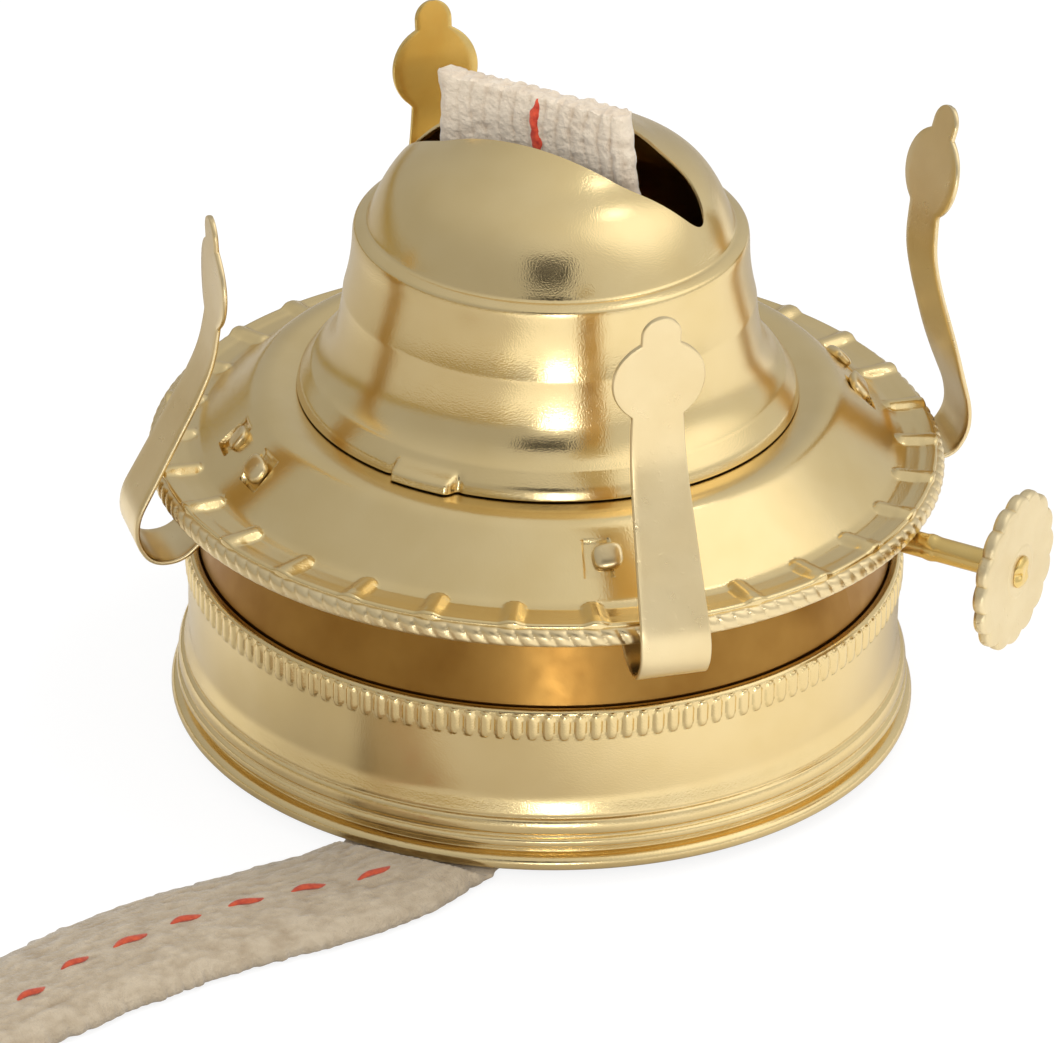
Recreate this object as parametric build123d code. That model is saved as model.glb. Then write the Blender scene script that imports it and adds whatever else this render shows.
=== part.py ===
from build123d import *
import os
from math import cos, radians, sin, sqrt, tan

# A brass flat-wick kerosene lamp burner. Millimetres, +Z up the burner's axis, +X along the
# wick spindle towards its thumb wheel. The origin is the centre of the collar's bottom rim.
os.makedirs("parts", exist_ok=True)

# Driving dimensions
SHEET = 0.5  # brass sheet thickness of the pressed parts
COLLAR_BORE_R = 34.9  # slips over the font's neck
COLLAR_WALL_R = 35.5
COLLAR_BEAD_R = 37.2
COLLAR_H = 17.2
DECK_Z = 12.0  # underside of the deck, and the depth of the collar's bore
DRUM_NECK_R = 25.8  # the gallery slips on this neck
DRUM_TOP_Z = 33.35
GALLERY_R = 39.4
GALLERY_RIM_Z = 26.2
CHIMNEY_SEAT_Z = 28.4
CHIMNEY_SEAT_R = (34.7, 38.7)
LEDGE_Z = 33.9  # the inner ledge of the gallery plate, on which the dome stands
DOME_SPHERE_R = 20.3
DOME_SPHERE_Z = 42.6
DOME_CREASE_Z = 52.1  # where the domed top meets the wall
DOME_SLOT = (16.4, 5.4)  # half the length and half the width of the oval slot
DOME_LUG_ANGLES = (-90.0, 90.0)
WICK_WIDTH = 22.0
WICK_THICK = 2.4
WICK_X = -1.4  # the wick sits a little to the left in its tube
WICK_Z = (15.8, 65.2)
TUBE_X = -0.5
TUBE_INSIDE = (26.0, 3.0)
TUBE_Z = (6.0, 55.0)
SPINDLE_R = 1.225
SPINDLE_Y = 5.1
SPINDLE_Z = 24.6
RUNNING_GAP = 0.05
SPUR_TIP_R = 3.8
SPUR_ROOT_R = 3.0
SPUR_TEETH = 12
SPUR_THICK = 1.2
SPUR_X = (-5.5, 4.5)
THUMB_R = 8.0
THUMB_LOBES = 16
THUMB_X = (48.1, 49.6)
PRONG_HINGE = (31.3, 31.0)  # radius and height of the ears that hold each prong
EAR_SIDE = 2.75  # how far each ear stands to the side of its prong's middle
EAR_WIDTH = 1.5
EAR_HOLE_WIDTH = 3.4
PRONG_THICK = 0.5
PRONG_FOOT_WIDTH = 7.0
PRONG_NECK_WIDTH = 5.0
PRONG_ANGLES = (-135.0, -44.6, 45.0, 137.2)
# Each prong is bent a little differently: how far out and how high its loop and its head stand
PRONG_LOOP_SHIFTS = ((-1.0, -0.7), (-1.2, 1.2), (-0.3, 0.7), (0.0, 0.0))
PRONG_HEAD_SHIFTS = ((-1.4, -1.7), (1.6, 1.2), (4.1, 1.4), (3.2, 0.4))
TAIL_WIDTH = 16.0  # the loose wick is slack, so it is narrower and thicker
TAIL_THICK = 3.2
FLOOR_Z = -WICK_THICK / 2  # what the loose wick lies on
RIM_GAP = 0.05  # between the collar's rim and the wick squeezed under it

# Centreline of the loose wick, from inside the tube's mouth to its cut end
TAIL_DROP = [(0.0, 6.6), (-0.3, 3.1), (-3.1, 0.0), (-8.0, 0.0)]  # (y, z), at x = WICK_X
TAIL_FLOOR = [
    (-1.4, -8.0),
    (-0.4, -15.5),
    (3.6, -23.5),
    (6.0, -32.5),
    (4.4, -42.0),
    (-0.9, -50.9),
    (-6.7, -60.0),
    (-10.6, -70.0),
    (-13.4, -80.8),
    (-17.8, -91.6),
    (-23.8, -101.9),
    (-28.2, -112.7),
    (-30.4, -122.0),
]


def save(shape, node):
    """Writes one sub-part's solids to its own file."""
    export_step(shape, f"parts/{node}.step")


def turned(outline):
    """A solid turned about Z from a closed outline of (radius, height) points."""
    return revolve(Plane.XZ * make_face(Polyline(*outline, close=True)), Axis.Z)


def offset_side(points, distance):
    """The open outline moved sideways, to its right, with mitred corners."""
    moved = []
    for i, (x, y) in enumerate(points):
        before = points[max(i - 1, 0)]
        after = points[min(i + 1, len(points) - 1)]
        here = (x, y)
        directions = [(a, b) for a, b in ((before, here), (here, after)) if a != b]
        normals = []
        for a, b in directions:
            length = sqrt((b[0] - a[0]) ** 2 + (b[1] - a[1]) ** 2)
            normals.append(((b[1] - a[1]) / length, (a[0] - b[0]) / length))
        mean = (sum(n[0] for n in normals) / len(normals), sum(n[1] for n in normals) / len(normals))
        size = mean[0] ** 2 + mean[1] ** 2
        moved.append((x + mean[0] * distance / size, y + mean[1] * distance / size))
    return moved


def strip(points, thickness):
    """The closed outline of a sheet whose right-hand face is the open outline."""
    return points + offset_side(points, -thickness)[::-1]


def slot_bar(length, width, bottom, top):
    """A bar of stadium section along Z, its long side along X."""
    return Pos(0, 0, bottom) * extrude(SlotOverall(length, width), top - bottom)


def rod_x(radius, start, end, y=SPINDLE_Y, z=SPINDLE_Z):
    """A round bar along X."""
    return Plane(origin=(start, y, z), z_dir=(1, 0, 0)) * extrude(Circle(radius), end - start)


def placed_around(shape, angle):
    """The shape turned about the burner's axis."""
    return Rot(0, 0, angle) * shape


# Fixed base ------------------------------------------------------------------------------


def font_collar():
    outline = [
        (COLLAR_BORE_R, 0.0),
        (35.4, 0.0),
        (35.5, 0.7),
        (36.8, 0.75),
        (COLLAR_BEAD_R, 1.15),
        (COLLAR_BEAD_R, 1.6),
        (36.3, 2.1),
        (36.3, 2.6),
        (36.7, 3.0),
        (36.6, 5.4),
        (COLLAR_WALL_R, 7.4),
        (COLLAR_WALL_R, 13.7),
        (35.7, 14.2),
        (35.7, 16.4),
        (35.4, COLLAR_H),
        (COLLAR_BORE_R, COLLAR_H),
    ]
    return turned(outline)


def deck_plate():
    skirt_r = COLLAR_BORE_R - SHEET
    dish = turned(
        [
            (0.0, DECK_Z),
            (COLLAR_BORE_R, DECK_Z),
            (COLLAR_BORE_R, DECK_Z + 3.0),
            (skirt_r, DECK_Z + 3.0),
            (skirt_r, DECK_Z + SHEET),
            (0.0, DECK_Z + SHEET),
        ]
    )
    tube_hole = Pos(TUBE_X, 0, 0) * slot_bar(*tube_outside(), DECK_Z - 1, DECK_Z + 2)
    return dish - tube_hole - vent_bar(1.5)


def drum_outline():
    """The outer face of the drum, from its foot to its neck's top."""
    return [
        (COLLAR_BORE_R - SHEET, DECK_Z + SHEET),
        (COLLAR_BORE_R - SHEET, 17.3),
        (32.4, 24.2),
        (31.0, 26.6),
        (26.4, 29.9),
        (DRUM_NECK_R, 30.6),
        (DRUM_NECK_R, DRUM_TOP_Z),
    ]


def air_drum():
    drum = turned(strip(drum_outline(), SHEET))
    shoulder = Plane(origin=(28.7, 0, 28.25), z_dir=(3.3, 0, 4.6))
    hole = shoulder * Pos(0, 0, -2) * extrude(Circle(1.3), 4.0)
    holes = [placed_around(hole, 360.0 * i / 26) for i in range(26)]
    return drum - Compound(children=holes) - rod_x(2.2, 20.0, 36.0)


def air_diffuser():
    radius = DRUM_NECK_R - SHEET
    disc = Pos(0, 0, 31.0) * extrude(Circle(radius), SHEET)
    holes = []
    for ring_r, count in ((16.5, 28), (19.5, 34), (22.5, 40)):
        for i in range(count):
            angle = 360.0 * i / count
            hole = Pos(ring_r, 0, 30.0) * extrude(Circle(0.9), 3.0)
            holes.append(placed_around(hole, angle))
    tube_hole = Pos(TUBE_X, 0, 0) * slot_bar(*tube_outside(), 30.0, 33.0)
    return disc - Compound(children=holes) - tube_hole - vent_bar(1.5)


def tube_outside():
    """Length and width of the wick tube's outside."""
    return TUBE_INSIDE[0] + 2 * SHEET, TUBE_INSIDE[1] + 2 * SHEET


def wick_tube():
    tube = slot_bar(*tube_outside(), *TUBE_Z)
    tube = tube - slot_bar(*TUBE_INSIDE, TUBE_Z[0] - 1, TUBE_Z[1] + 1)
    tube = Pos(TUBE_X, 0, 0) * tube
    for x in SPUR_X:
        tube = tube - Pos(x, 2.0, SPINDLE_Z) * Box(SPUR_THICK + 1.0, 3.0, 7.0)
    return tube


def tube_ferrule():
    length, width = tube_outside()
    top = DECK_Z + SHEET + 1.0
    ring = slot_bar(length + 2.4, width + 2.4, DECK_Z + SHEET, top)
    return Pos(TUBE_X, 0, 0) * (ring - slot_bar(length, width, DECK_Z, top + 1))


def spindle_bracket():
    tube_face = tube_outside()[1] / 2
    back = Box(19.8, 0.6, 9.0, align=(Align.CENTER, Align.MIN, Align.CENTER))
    ear = Box(0.8, 6.2, 9.0, align=(Align.CENTER, Align.MIN, Align.CENTER))
    bracket = back + Pos(-9.5, 0, 0) * ear + Pos(9.5, 0, 0) * ear - Box(14.4, 3.0, 7.4)
    bracket = Pos(TUBE_X, tube_face, SPINDLE_Z) * bracket
    return bracket - rod_x(SPINDLE_R + RUNNING_GAP, -15.0, 15.0)


def spindle_bushing():
    body = rod_x(2.2, 30.4, 33.6) + rod_x(3.0, 32.9, 33.6)
    return body - rod_x(SPINDLE_R + RUNNING_GAP, 29.0, 35.0)


def vent_bar(radius):
    """A bar on the vent tube's axis, longer than the tube."""
    return Pos(6.0, -5.2, 0) * extrude(Circle(radius), 60.0)


def vent_tube():
    tube = vent_bar(1.5) - vent_bar(1.1)
    return tube & Pos(6.0, -5.2, 24.5) * Box(5.0, 5.0, 31.0)


# Gallery, which lifts off the drum's neck --------------------------------------------------


def gallery_plate():
    inner, outer = CHIMNEY_SEAT_R
    top = [
        (outer + 0.2, CHIMNEY_SEAT_Z),
        (inner, CHIMNEY_SEAT_Z),
        (28.8, 34.1),
        (27.4, 34.3),
        (26.4, LEDGE_Z),
        (21.0, LEDGE_Z),
    ]
    plate = turned(strip(top, SHEET))
    ear_hole = Box(3.4, EAR_HOLE_WIDTH, 8.0)
    hole_side = EAR_SIDE + (EAR_HOLE_WIDTH - EAR_WIDTH) / 2 - 0.4
    for angle in PRONG_ANGLES:
        for side in (-hole_side, hole_side):
            plate = plate - placed_around(Pos(PRONG_HINGE[0], side, PRONG_HINGE[1]) * ear_hole, angle)
    return plate


def corded_rim():
    top = CHIMNEY_SEAT_Z - SHEET
    return turned(
        [
            (38.0, GALLERY_RIM_Z + 0.3),
            (38.5, GALLERY_RIM_Z),
            (39.1, GALLERY_RIM_Z),
            (GALLERY_R, GALLERY_RIM_Z + 0.5),
            (GALLERY_R, top - 0.3),
            (39.1, top),
            (38.0, top),
        ]
    )


def gallery_seat_ring():
    inner = DRUM_NECK_R + 0.1
    return turned(
        [
            (inner, 30.9),
            (inner + SHEET, 30.9),
            (inner + SHEET, LEDGE_Z - SHEET),
            (inner, LEDGE_Z - SHEET),
        ]
    )


def dome_body(inset):
    """The dome's solid of revolution, inset from its outer face."""
    sphere_r = DOME_SPHERE_R - inset
    crease_r = sqrt(sphere_r**2 - (DOME_CREASE_Z - DOME_SPHERE_Z) ** 2)
    middle = radians(60.0)
    arc_middle = (sphere_r * cos(middle), DOME_SPHERE_Z + sphere_r * sin(middle))
    cap = ThreePointArc((0.0, DOME_SPHERE_Z + sphere_r), arc_middle, (crease_r, DOME_CREASE_Z))
    wall = Polyline(
        (crease_r, DOME_CREASE_Z),
        (18.9 - inset, 51.7),
        (19.4 - inset, 50.2),
        (19.6 - inset, 47.0),
        (20.4 - inset, 42.5),
        (22.2 - inset, 38.3),
        (22.5 - inset, LEDGE_Z),
        (0.0, LEDGE_Z),
        (0.0, DOME_SPHERE_Z + sphere_r),
    )
    return revolve(Plane.XZ * make_face(Wire(cap.edges() + wall.edges())), Axis.Z)


def dome():
    shell = dome_body(0.0) - dome_body(SHEET)
    flange = turned([(22.3, 34.4), (24.5, 34.4), (24.5, 34.9), (22.3, 35.3)])
    lug = Pos(24.0, 0, LEDGE_Z + 0.45) * Box(2.4, 6.0, 0.9)
    lugs = [placed_around(lug, angle) for angle in DOME_LUG_ANGLES]
    slot = Pos(0, 0, 53.0) * extrude(Ellipse(*DOME_SLOT), 13.0)
    return shell + flange + lugs - slot


# Chimney prongs ----------------------------------------------------------------------------


def prong_line(loop_shift, head_shift):
    """The prong's centreline in (radius, height), from its foot, round its loop, to its tip."""
    loop_z = 28.0
    head_z = 51.0
    foot = (31.0, 30.4)
    line = [(36.0, 24.4), (38.6, 21.9), (41.6, 21.9), (43.1, 24.4), (43.0, 27.0)]
    line += [(40.4, 32.2), (36.7, 39.7), (35.2, 43.4), (34.5, 48.0), (34.4, 52.0), (34.8, 58.4)]
    shifted = [foot]
    for r, z in line:
        share = max((z - loop_z) / (head_z - loop_z), 0.0)
        out = loop_shift[0] + (head_shift[0] - loop_shift[0]) * share
        rise = loop_shift[1] + (head_shift[1] - loop_shift[1]) * share
        shifted.append((r + out, z + rise))
    return shifted


def prong(loop_shift, head_shift):
    line = prong_line(loop_shift, head_shift)
    band = strip(offset_side(line, PRONG_THICK / 2), PRONG_THICK)
    curved = Plane.XZ * extrude(make_face(Polyline(*band, close=True)), 6.0, both=True)
    head_z = 51.3 + head_shift[1]
    neck_z = head_z - 3.4
    half_foot = PRONG_FOOT_WIDTH / 2
    half_neck = PRONG_NECK_WIDTH / 2
    face = make_face(
        Polyline(
            (-half_foot, 15.0),
            (half_foot, 15.0),
            (half_foot, 27.0),
            (half_neck, neck_z),
            (-half_neck, neck_z),
            (-half_foot, 27.0),
            close=True,
        )
    )
    face = face + Pos(0, head_z) * Circle(4.5) + Pos(0, head_z + 4.8) * Circle(1.95)
    face = face + Pos(0, head_z + 2.4) * Rectangle(3.9, 4.8)
    front = Plane.YZ * extrude(face, 60.0)
    ear = Pos(PRONG_HINGE[0] - 0.1, 0, PRONG_HINGE[1] + 0.3) * Box(0.6, EAR_WIDTH, 2.6)
    return (curved & front) + Pos(0, -EAR_SIDE, 0) * ear + Pos(0, EAR_SIDE, 0) * ear


# Wick raiser -------------------------------------------------------------------------------


def spindle():
    shaft = rod_x(SPINDLE_R, -12.4, THUMB_X[1])
    swage = rod_x(1.6, 39.7, 40.9)
    staked_end = rod_x(1.5, THUMB_X[1], THUMB_X[1] + 1.0)
    return shaft + swage + staked_end


def spindle_clip():
    return rod_x(2.4, -11.6, -10.8) - rod_x(SPINDLE_R, -13.0, -10.0)


def spur_wheel(x):
    points = []
    for i in range(2 * SPUR_TEETH):
        radius = SPUR_TIP_R if i % 2 else SPUR_ROOT_R
        angle = radians(180.0 * i / SPUR_TEETH)
        points.append((radius * cos(angle), radius * sin(angle)))
    outline = make_face(Polyline(*points, close=True)) - Circle(SPINDLE_R)
    start = Plane(origin=(x - SPUR_THICK / 2, SPINDLE_Y, SPINDLE_Z), z_dir=(1, 0, 0))
    return start * extrude(outline, SPUR_THICK)


def thumb_wheel():
    lobe_r = 1.5
    disc = Circle(THUMB_R - 0.9)
    for i in range(THUMB_LOBES):
        disc = disc + Rot(0, 0, 360.0 * i / THUMB_LOBES) * Pos(THUMB_R - lobe_r, 0) * Circle(lobe_r)
    disc = disc - Circle(SPINDLE_R)
    start = Plane(origin=(THUMB_X[0], SPINDLE_Y, SPINDLE_Z), z_dir=(1, 0, 0))
    return start * extrude(disc, THUMB_X[1] - THUMB_X[0])


# Wick --------------------------------------------------------------------------------------


def wick():
    low, high = WICK_Z
    return Pos(WICK_X, 0, (low + high) / 2) * Box(WICK_WIDTH, WICK_THICK, high - low)


def corner_radii(points):
    """The largest tangent arcs that share each run between its two corners."""
    radii = []
    for a, b, c in zip(points, points[1:], points[2:]):
        first = Vector(*b) - Vector(*a)
        second = Vector(*c) - Vector(*b)
        turn = radians(first.get_angle(second))
        radii.append(0.45 * min(first.length, second.length) / tan(turn / 2))
    return radii


def wick_tail():
    drop_section = Rectangle(WICK_WIDTH, WICK_THICK)
    floor_section = Pos(0, FLOOR_Z + TAIL_THICK / 2) * Rectangle(TAIL_WIDTH, TAIL_THICK)
    drop_radii = corner_radii(TAIL_DROP)
    floor_radii = corner_radii(TAIL_FLOOR)
    print("tail radii, bending on the flat:", [round(r, 1) for r in drop_radii])
    print("tail radii, on the floor:", [round(r, 1) for r in floor_radii])
    drop_path = FilletPolyline(*[(WICK_X, y, z) for y, z in TAIL_DROP], radius=drop_radii)
    floor_path = FilletPolyline(*[(x, y, 0.0) for x, y in TAIL_FLOOR], radius=floor_radii)
    start = Plane(origin=(WICK_X, *TAIL_DROP[0]), x_dir=(1, 0, 0), z_dir=drop_path % 0)
    drop = sweep(start * drop_section, path=drop_path)
    heading = floor_path % 0
    landing = Plane(origin=floor_path @ 0, x_dir=Vector(0, 0, 1).cross(heading), z_dir=heading)
    floor = sweep(landing * floor_section, path=floor_path)
    bulk = drop_section.area * drop_path.length + floor_section.area * floor_path.length
    print("tail length", round(drop_path.length + floor_path.length, 2))
    print("volume over section times length", round((drop.volume + floor.volume) / bulk, 4))
    squeeze = turned([(34.0, -RIM_GAP), (38.0, -RIM_GAP), (41.5, 2.6), (30.5, 2.6)])
    return drop + floor - squeeze


if __name__ == "__main__":
    save(font_collar(), "font_collar")
    save(deck_plate(), "deck_plate")
    save(air_drum(), "air_drum")
    save(air_diffuser(), "air_diffuser")
    save(wick_tube(), "wick_tube")
    save(tube_ferrule(), "tube_ferrule")
    save(spindle_bracket(), "spindle_bracket")
    save(spindle_bushing(), "spindle_bushing")
    save(vent_tube(), "vent_tube")
    save(gallery_plate(), "gallery_plate")
    save(corded_rim(), "corded_rim")
    save(gallery_seat_ring(), "gallery_seat_ring")
    save(dome(), "dome")
    for number, angle in enumerate(PRONG_ANGLES, start=1):
        shape = prong(PRONG_LOOP_SHIFTS[number - 1], PRONG_HEAD_SHIFTS[number - 1])
        save(placed_around(shape, angle), f"chimney_prong_{number}")
    save(spindle(), "spindle")
    save(spindle_clip(), "spindle_clip")
    for number, x in enumerate(SPUR_X, start=1):
        save(spur_wheel(x), f"spur_wheel_{number}")
    save(thumb_wheel(), "thumb_wheel")
    save(wick(), "wick")
    save(wick_tail(), "wick_tail")
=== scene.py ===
from math import cos, pi, radians, sin

import bmesh
import bpy
import numpy as np
from mathutils import Matrix, Vector, noise


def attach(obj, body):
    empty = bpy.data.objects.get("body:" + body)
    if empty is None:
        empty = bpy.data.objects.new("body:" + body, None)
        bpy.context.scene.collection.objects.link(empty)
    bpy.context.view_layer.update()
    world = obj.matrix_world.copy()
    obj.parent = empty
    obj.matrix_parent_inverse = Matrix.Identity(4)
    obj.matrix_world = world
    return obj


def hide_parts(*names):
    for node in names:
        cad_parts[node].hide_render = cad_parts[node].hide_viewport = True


# A brass flat-wick lamp burner. Sizes in this script are millimetres in the part's own frame, +Z up
# the burner's axis and +X along the spindle, and new_piece turns them into metres. The camera, the
# lamps, the materials' bumps and the loose wick's route are in metres.
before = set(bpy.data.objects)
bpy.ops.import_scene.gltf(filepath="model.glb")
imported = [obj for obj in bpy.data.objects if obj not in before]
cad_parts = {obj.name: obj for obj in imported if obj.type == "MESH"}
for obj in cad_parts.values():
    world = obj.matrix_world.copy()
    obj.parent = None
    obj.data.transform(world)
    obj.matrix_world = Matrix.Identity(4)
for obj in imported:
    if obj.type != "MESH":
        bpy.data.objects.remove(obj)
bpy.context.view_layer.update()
MM = 0.001
SHEET = 0.5

# Camera, at the photograph's viewing angle
CAMERA_AZIMUTH = 28.5
CAMERA_ELEVATION = 28.25
CAMERA_ROLL = 1.17
CAMERA_DISTANCE = 0.7
CAMERA_LENS = 237.96
AIM_HEIGHT = 0.012
AIM_RIGHT = -0.00153
AIM_UP = 0.0059

# Loose wick: its centreline's points in metres, from inside the tube's mouth to the cut end
TAIL_ROUTE = [
    (-0.0014, 0.0, 0.0066),
    (-0.0014, -0.0003, 0.0031),
    (-0.0014, -0.0031, 0.0),
    (-0.0014, -0.008, 0.0),
    (-0.0004, -0.0155, 0.0),
    (0.0036, -0.0235, 0.0),
    (0.006, -0.0325, 0.0),
    (0.0044, -0.042, 0.0),
    (-0.0009, -0.0509, 0.0),
    (-0.0067, -0.06, 0.0),
    (-0.0106, -0.07, 0.0),
    (-0.0134, -0.0808, 0.0),
    (-0.0178, -0.0916, 0.0),
    (-0.0238, -0.1019, 0.0),
    (-0.0282, -0.1127, 0.0),
    (-0.0304, -0.122, 0.0),
]
TAIL_WIDTH = 16.0
TUBE_WICK_WIDTH = 22.0
WICK_THICK = 2.4
FLOOR_Z = -1.2
STITCH_PITCH = 6.5

# Brightness of the studio all round, and its soft glows: azimuth, elevation, cosines from its middle
# where it starts and is full, and brightness
ROOM_LIGHT = 0.46
ROOM_GLOWS = (
    (110.0, 25.0, -0.2, 1.0, 0.30),
    (112.0, 46.0, 0.80, 0.985, 0.55),
    (0.0, 90.0, 0.3, 1.0, 0.12),
)

# The four prongs: degrees round from +X, and how each is bent by hand. Its loop and its head are
# shifted in (radius, height), its strap leans sideways by its lean at the top and the other way at
# the bottom, its strap's far side stands out by its twist for each millimetre across, and its ears
# lie beside its strap by their shift.
PRONG_ANGLES = (-135.0, -44.6, 45.0, 137.2)
PRONG_LOOP_SHIFTS = ((-0.75, -0.85), (-1.2, 1.2), (0.0, 0.7), (0.0, 0.0))
PRONG_HEAD_SHIFTS = ((-0.7, -2.05), (1.6, 1.2), (4.6, 1.4), (3.2, 0.4))
PRONG_LEANS = (0.0, -0.45, 0.0, 0.0)
PRONG_TWISTS = (0.0, 0.0, -0.2, 0.0)
PRONG_EAR_SHIFTS = (2.8, 0.0, 0.0, 0.0)
PRONG_HINGE_R = 31.3

# The spindle's axis, and the inner face of the thumb wheel on it
SPINDLE_Y = 5.1
SPINDLE_Z = 24.6
THUMB_X = 48.1


# Mesh helpers ------------------------------------------------------------------------------


def blend_in(x, low, high):
    """0 below low, 1 above high, and smooth between."""
    t = np.clip((np.asarray(x, float) - low) / (high - low), 0.0, 1.0)
    return t * t * (3.0 - 2.0 * t)


def rounded(points, radius, closed=False, steps=5):
    """The outline with its corners rounded; a point's third number is its own radius."""
    corners = [np.array(p[:2], float) for p in points]
    radii = [p[2] if len(p) > 2 else radius for p in points]
    count = len(corners)
    outline = []
    for i, corner in enumerate(corners):
        if not closed and i in (0, count - 1):
            outline.append(corner)
            continue
        before = corners[i - 1] - corner
        after = corners[(i + 1) % count] - corner
        cut = min(radii[i], 0.48 * np.linalg.norm(before), 0.48 * np.linalg.norm(after))
        start = corner + before / np.linalg.norm(before) * cut
        end = corner + after / np.linalg.norm(after) * cut
        for t in np.linspace(0.0, 1.0, steps):
            outline.append((1 - t) ** 2 * start + 2 * t * (1 - t) * corner + t**2 * end)
    return np.array(outline)


def dense(outline, step, closed=False):
    """The outline with points added so that none is further than step from the next."""
    ends = np.roll(outline, -1, axis=0) if closed else outline[1:]
    added = []
    for a, b in zip(outline, ends):
        parts = max(1, int(np.ceil(np.linalg.norm(b - a) / step)))
        added += [a + (b - a) * k / parts for k in range(parts)]
    if not closed:
        added.append(outline[-1])
    return np.array(added)


def resampled(line, count):
    """The line's points spaced evenly along it."""
    steps = np.linalg.norm(np.diff(line, axis=0), axis=1)
    along = np.concatenate([[0.0], np.cumsum(steps)])
    wanted = np.linspace(0.0, along[-1], count)
    return np.stack([np.interp(wanted, along, line[:, k]) for k in range(line.shape[1])], axis=1)


def turned(outline, segments, relief=None):
    """Rings about Z of an outline of (radius, height); relief(angle, r, z) gives what to add to r and z."""
    angle = np.arange(segments) * 2 * pi / segments
    r = np.repeat(outline[:, :1], segments, axis=1)
    z = np.repeat(outline[:, 1:], segments, axis=1)
    if relief:
        out, up = relief(angle[None, :], r, z)
        r = r + out
        z = z + up
    return np.stack([r * np.cos(angle), r * np.sin(angle), z], axis=-1)


def skin(rows, wrap_rows=False, wrap_columns=True, holes=None):
    """Quads over a grid of points, except where holes is true."""
    count, width = rows.shape[:2]
    faces = []
    for i in range(count if wrap_rows else count - 1):
        k = (i + 1) % count
        for j in range(width if wrap_columns else width - 1):
            if holes is not None and holes[i, j]:
                continue
            m = (j + 1) % width
            faces.append((i * width + j, i * width + m, k * width + m, k * width + j))
    return faces


def new_piece(name, points, faces, body, material, replaces=(), sharp=40.0, painted_shades=None):
    """A mesh of millimetre points that rides on a body; painted_shades, one for each point, paint shade on a
    cotton.
    """
    mesh = bpy.data.meshes.new(name)
    mesh.from_pydata((np.asarray(points).reshape(-1, 3) * MM).tolist(), [], faces)
    if painted_shades is not None:
        mesh.attributes.new("depth", "FLOAT", "POINT")
        mesh.attributes["depth"].data.foreach_set("value", np.asarray(painted_shades, np.float32).ravel())
    work = bmesh.new()
    work.from_mesh(mesh)
    bmesh.ops.remove_doubles(work, verts=work.verts, dist=0.0005 * MM)
    loose = [v for v in work.verts if not v.link_faces]
    bmesh.ops.delete(work, geom=loose, context="VERTS")
    bmesh.ops.recalc_face_normals(work, faces=work.faces)
    work.to_mesh(mesh)
    work.free()
    mesh.shade_smooth()
    mesh.set_sharp_from_angle(angle=radians(sharp))
    mesh.materials.append(material)
    piece = bpy.data.objects.new(name, mesh)
    bpy.context.scene.collection.objects.link(piece)
    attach(piece, body)
    if replaces:
        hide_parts(*replaces)
    return piece


def ripple(x, y, z, size):
    """Smooth noise from -1 to 1 at points in millimetres, with bumps of about that size."""
    x, y, z = np.broadcast_arrays(x, y, z)
    flat = [noise.noise(Vector(p) / size) for p in zip(x.ravel(), y.ravel(), z.ravel())]
    return np.array(flat).reshape(x.shape)


# Materials ---------------------------------------------------------------------------------


def blank_material(name):
    material = bpy.data.materials.new(name)
    material.use_nodes = True
    nodes = material.node_tree.nodes
    return material, nodes, material.node_tree.links, nodes["Principled BSDF"]


def noise_node(nodes, links, scale, detail=2.0, stretch=(1.0, 1.0, 1.0)):
    """A noise texture in the object's own coordinates; scale is in bumps for each metre."""
    place = nodes.new("ShaderNodeTexCoord")
    mapping = nodes.new("ShaderNodeMapping")
    mapping.inputs["Scale"].default_value = stretch
    texture = nodes.new("ShaderNodeTexNoise")
    texture.inputs["Scale"].default_value = scale
    texture.inputs["Detail"].default_value = detail
    links.new(place.outputs["Object"], mapping.inputs["Vector"])
    links.new(mapping.outputs["Vector"], texture.inputs["Vector"])
    return texture.outputs["Fac"]


def ramp_node(nodes, links, value, stops):
    """A colour ramp of (position, colour) stops, fed by value."""
    ramp = nodes.new("ShaderNodeValToRGB")
    for i, (position, colour) in enumerate(stops):
        stop = ramp.color_ramp.elements[i] if i < 2 else ramp.color_ramp.elements.new(position)
        stop.position = position
        stop.color = (*colour, 1.0)
    links.new(value, ramp.inputs["Fac"])
    return ramp.outputs["Color"]


def range_node(nodes, links, value, low, high, start=0.3, end=0.7):
    """value from start to end, turned into low to high."""
    node = nodes.new("ShaderNodeMapRange")
    for socket, number in zip(("From Min", "From Max", "To Min", "To Max"), (start, end, low, high)):
        node.inputs[socket].default_value = number
    links.new(value, node.inputs["Value"])
    return node.outputs["Result"]


def bump_node(nodes, links, height, distance, normal=None):
    """A bump of that depth in metres, on top of another if one is given."""
    bump = nodes.new("ShaderNodeBump")
    bump.inputs["Strength"].default_value = 1.0
    bump.inputs["Distance"].default_value = distance
    links.new(height, bump.inputs["Height"])
    if normal is not None:
        links.new(normal, bump.inputs["Normal"])
    return bump.outputs["Normal"]


def brass(name, light, dark, roughness, grain, pits=0.0):
    """Brass with a slow drift of tone, patchy gloss, a fine rolled grain and, if asked, small pits."""
    material, nodes, links, shader = blank_material(name)
    shader.inputs["Metallic"].default_value = 1.0
    drift = noise_node(nodes, links, 160.0, 3.0)
    links.new(ramp_node(nodes, links, drift, [(0.3, dark), (0.7, light)]), shader.inputs["Base Color"])
    patches = noise_node(nodes, links, 500.0, 4.0)
    gloss = range_node(nodes, links, patches, roughness * 0.9, roughness * 1.12)
    links.new(gloss, shader.inputs["Roughness"])
    fine = noise_node(nodes, links, 6000.0, 1.0)
    normal = bump_node(nodes, links, fine, grain)
    if pits:
        spots = range_node(nodes, links, noise_node(nodes, links, 1800.0, 2.0), 1.0, 0.0, 0.62, 0.74)
        normal = bump_node(nodes, links, spots, pits, normal)
    links.new(normal, shader.inputs["Normal"])
    return material


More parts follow.
